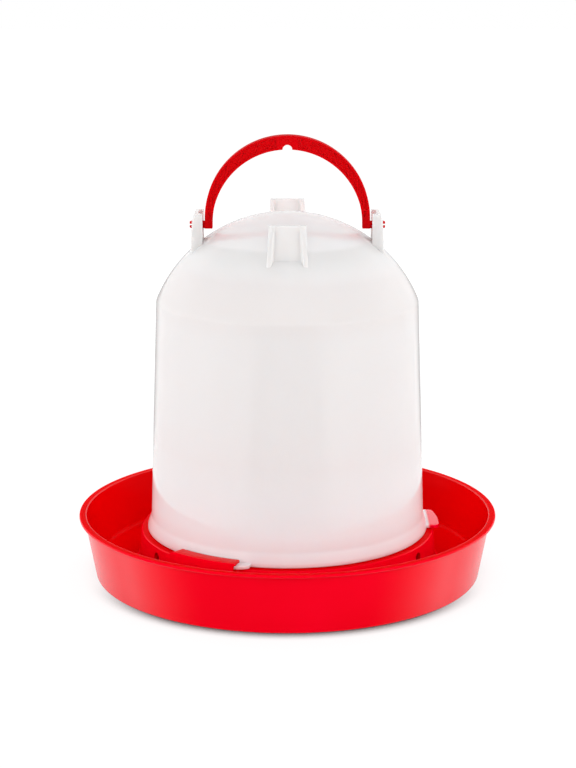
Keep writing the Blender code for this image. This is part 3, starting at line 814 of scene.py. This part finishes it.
redLook = {  # what both red pieces share
    "flowScale": 14.0, "grainScale": 900.0, "scuffScale": 160.0, "scuffing": 0.10, "flowing": 0.06,
    "flowRange": (0.35, 0.65), "flowDepth": 6.0, "insideTurn": (0.0, 0.6),
    "outsideTurn": (0.45, 0.85), "edgeOn": (0.5, 0.62), "edgeLoss": 0.3, "coatIor": 1.55,
    "specular": 0.0,
}
trayRed = redPlastic("polypropylene_red", redLook | {
    "deep": (0.96, 0.0, 0.012, 1.0), "bright": (1.0, 0.0, 0.015, 1.0),
    # the inside colour is painted shade on the inner wall and the trough floor
    "inside": (0.79, 0.0, 0.001, 1.0), "roughness": 0.24, "bump": 0.08, "everywhere": 0.05,
    "glossFrom": 0.25, "glossTo": 0.58, "gloss": 1.0, "coatRoughness": 0.16,
    "polished": [  # heights, radii, share: the rim's top and the hooks' tops
        ((0.0434, 0.0438), (0.1458, 0.1452), 0.5),
        ((0.0362, 0.0370), (0.1210, 0.1200), 0.3),
    ],
})
handleRed = redPlastic("polypropylene_red_handle", redLook | {
    "deep": (0.61, 0.0, 0.002, 1.0), "bright": (0.67, 0.0, 0.003, 1.0),
    "inside": (0.63, 0.0, 0.002, 1.0), "roughness": 0.34, "bump": 0.02, "everywhere": 0.13,
    "glossFrom": 0.3, "glossTo": 0.8, "gloss": 0.1, "coatRoughness": 0.2, "polished": [],
})
milky = naturalPlastic({
    # painted by height: the tray's pink light at 32, light at 42 and 52, own colour at 100 and 186,
    # shade at 204 and 222, light at 240 and 247
    "colours": [  # height in mm, colour
        (32.0, (0.86, 0.77, 0.785)), (42.0, (0.86, 0.87, 0.88)), (52.0, (0.86, 0.92, 0.93)),
        (100.0, (0.84, 0.805, 0.80)), (186.0, (0.835, 0.80, 0.795)), (204.0, (0.82, 0.77, 0.76)),
        (222.0, (0.815, 0.77, 0.765)), (240.0, (0.89, 0.87, 0.87)), (247.0, (0.91, 0.89, 0.89)),
    ],
    "drift": 0.012, "clouding": 0.07, "cloudScale": 11.0, "waveScale": 26.0, "grainScale": 700.0,
    "stretch": 0.22, "grainDepth": 0.4, "waveDepth": 5.0, "roughness": 0.07, "scuffing": 0.08,
    "bump": 0.05, "ior": 1.49,
    # painted shade on the feet
    "footShade": (0.79, 0.775, 0.77, 1.0), "footShadeRadius": (0.056, 0.060), "footShadeHeight": (0.222, 0.238),
    # painted red light from the tray on the grip tab
    "paintedTrayRed": (1.0, 0.0, 0.03, 1.0), "paintedTrayRedAcross": (0.1008, 0.1030),
    "subsurface": 0.6, "subsurfaceRadius": (1.0, 0.9, 0.85), "subsurfaceScale": 0.004,
})

trayShell = buildTray(trayRed)
hopperShell = buildHopper(milky)
handleShell = buildHandle(handleRed)

for piece, body, slot in (
        (trayShell, "tray", "polypropylene_red"),
        (hopperShell, "hopper", "polypropylene_natural"),
        (handleShell, "handle", "polypropylene_red_handle")):
    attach(piece, body)
    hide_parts(body)


# Studio: pale floor, soft lamps, the photograph's camera

studio = {  # cones are half angles in degrees, lengths are in metres
    "floorSize": 6.0, "floorColour": (0.50, 0.50, 0.50, 1.0), "floorSeen": (0.12, 0.12, 0.12, 1.0),
    "floorGlow": 0.91, "farGlow": 0.2, "farFrom": 0.3, "farTo": 1.2,
    "shadowReach": 0.018, "contact": (0.25, 0.87), "shadowTurn": (-0.2, -0.95),
    "shadowInGloss": 0.2, "shadowAtSides": 0.1, "shadowInFront": 1.1,
    "worldColour": (1.0, 1.0, 1.0, 1.0), "worldStrength": 0.30,
    "frontCone": (34.0, 24.0), "frontTop": (0.62, 0.45), "frontFrom": (0.25, 0.4),
    "ceiling": (0.45, 0.7), "greyCeiling": 0.85,
    "backCone": (38.0, 28.0), "backFrom": (0.25, 0.5), "greyBack": 0.32,
    "aim": (0.0, 0.0, 0.13),
}

lamps = [  # name, azimuth from the front, elevation, distance, size, watts
    ("leftLamp", -62.0, 11.0, 1.5, 0.9, 11.2),
    ("rightLamp", 62.0, 11.0, 1.5, 0.9, 11.2),
    ("frontLamp", 0.0, 20.0, 1.5, 0.9, 6.4),
    ("overheadLamp", 180.0, 74.0, 1.4, 1.2, 7.0),
    ("backLeftLamp", -140.0, 18.0, 1.5, 0.9, 8.0),
    ("backRightLamp", 140.0, 18.0, 1.5, 0.9, 8.0),
]

camera = {  # lens and sensor in mm, shift as a share of the picture, place in metres
    "lens": 95.05, "sensor": 36.0, "shift": 0.6 / 768, "place": (0.0, -1.40625, 0.4768),
    "tiltDown": 0.2372,
}


def raysThatSee(tree):
    # 1 for camera, glossy and transmission rays, 0 for the rest
    rays = tree.tree.nodes.new("ShaderNodeLightPath")
    seen, glossy, through = (Wire(tree, rays.outputs[name]) for name in (
        "Is Camera Ray", "Is Glossy Ray", "Is Transmission Ray"))
    return tree.node("ShaderNodeMath", {"operation": "MINIMUM"}, {
        0: seen + glossy + through, 1: 1.0})


def surroundings(tree, direction, near, far):
    # gloss shows a dark room in front, a grey ceiling and a grey floor behind, and the camera
    # sees only white
    glossy = tree.node("ShaderNodeLightPath", output=3)
    upwards = axisOf(tree, direction, 2)
    forward = axisOf(tree, unitOf(tree, levelPart(tree, direction)), 1)
    outer, inner = (cos(radians(angle)) for angle in studio["frontCone"])
    front = smoothShare(tree, forward, -outer, -inner)
    front = front * smoothShare(tree, upwards, *studio["frontTop"])
    ceiling = smoothShare(tree, upwards, *studio["ceiling"]) * (1.0 - studio["greyCeiling"])
    outer, inner = (cos(radians(angle)) for angle in studio["backCone"])
    back = smoothShare(tree, forward, outer, inner) * (1.0 - studio["greyBack"])
    return 1.0 - glossy * (front * near + ceiling + back * far)


def floorMaterial():
    # white to the camera and to gloss, with the contact shadow under the tray's edge
    material, shader, tree = newMaterial("pale_floor")
    seen = raysThatSee(tree)
    byCamera = tree.node("ShaderNodeLightPath", output=0)
    place = tree.node("ShaderNodeTexCoord", output=3)
    away = lengthOf(tree, place)
    towards = unitOf(tree, place)
    level = surroundings(
        tree, towards, smoothShare(tree, away, *studio["frontFrom"]),
        smoothShare(tree, away, *studio["backFrom"]))
    touch = tree.node("ShaderNodeAmbientOcclusion", {"samples": 8}, {
        "Distance": studio["shadowReach"]}, output=1)
    # for the camera the shadow deepens from the sides to the front, and gloss sees it evenly
    forward = axisOf(tree, towards, 1)
    inFront = smoothShare(tree, forward, *studio["shadowTurn"]) * studio["shadowInFront"]
    sides = studio["shadowAtSides"] - studio["shadowInGloss"]
    shadow = studio["shadowInGloss"] + byCamera * (inFront + sides)
    contact = 1.0 - (1.0 - smoothShare(tree, touch, *studio["contact"])) * shadow
    glow = smoothShare(tree, away, studio["farFrom"], studio["farTo"]) * studio["farGlow"]
    bright = studio["floorGlow"] + glow
    tree.feed(shader.inputs["Base Color"], mixColours(
        tree, seen, studio["floorColour"], studio["floorSeen"]))
    tree.feed(shader.inputs["Emission Color"], mixColours(
        tree, seen * bright * contact * level, (0.0, 0.0, 0.0, 1.0), (1.0, 1.0, 1.0, 1.0)))
    shader.inputs["Emission Strength"].default_value = 1.0
    shader.inputs["Roughness"].default_value = 0.9
    shader.inputs["Specular IOR Level"].default_value = 0.0
    return material


def buildWorld():
    world = bpy.data.worlds.new("studio")
    bpy.context.scene.world = world
    world.use_nodes = True
    tree = Tree(world.node_tree)
    background = world.node_tree.nodes["Background"]
    background.inputs["Color"].default_value = studio["worldColour"]
    seen = raysThatSee(tree)
    direction = tree.node("ShaderNodeTexCoord", output=0)
    level = surroundings(tree, direction, 1.0, 0.0)
    unseen = (1.0 - seen) * studio["worldStrength"]
    tree.feed(background.inputs["Strength"], seen * level + unseen)


def addLamp(name, azimuth, elevation, distance, size, watts):
    light = bpy.data.lights.new(name, "AREA")
    light.size = size
    light.energy = watts
    lamp = addObject(name, light)
    aim = Vector(studio["aim"])
    level = distance * cos(radians(elevation))
    lamp.location = aim + polar(level, radians(azimuth), distance * sin(radians(elevation)))
    lamp.rotation_euler = (aim - lamp.location).to_track_quat("-Z", "Y").to_euler()
    lamp.visible_glossy = False  # gloss shows the surroundings and no lamp


def buildStudio():
    shape = bmesh.new()
    bmesh.ops.create_grid(shape, x_segments=1, y_segments=1, size=studio["floorSize"])
    floor = meshObject("floor", shape)
    floor.data.materials.append(floorMaterial())
    buildWorld()
    for lamp in lamps:
        addLamp(*lamp)
    lens = bpy.data.cameras.new("camera")
    lens.lens = camera["lens"]
    lens.sensor_width = camera["sensor"]
    lens.shift_x = camera["shift"]
    view = addObject("camera", lens)
    view.location = camera["place"]
    view.rotation_euler = (pi / 2 - camera["tiltDown"], 0.0, 0.0)
    bpy.context.scene.camera = view
    print("studio:", len(lamps), "lamps")


buildStudio()
bpy.context.scene.view_settings.view_transform = "Standard"
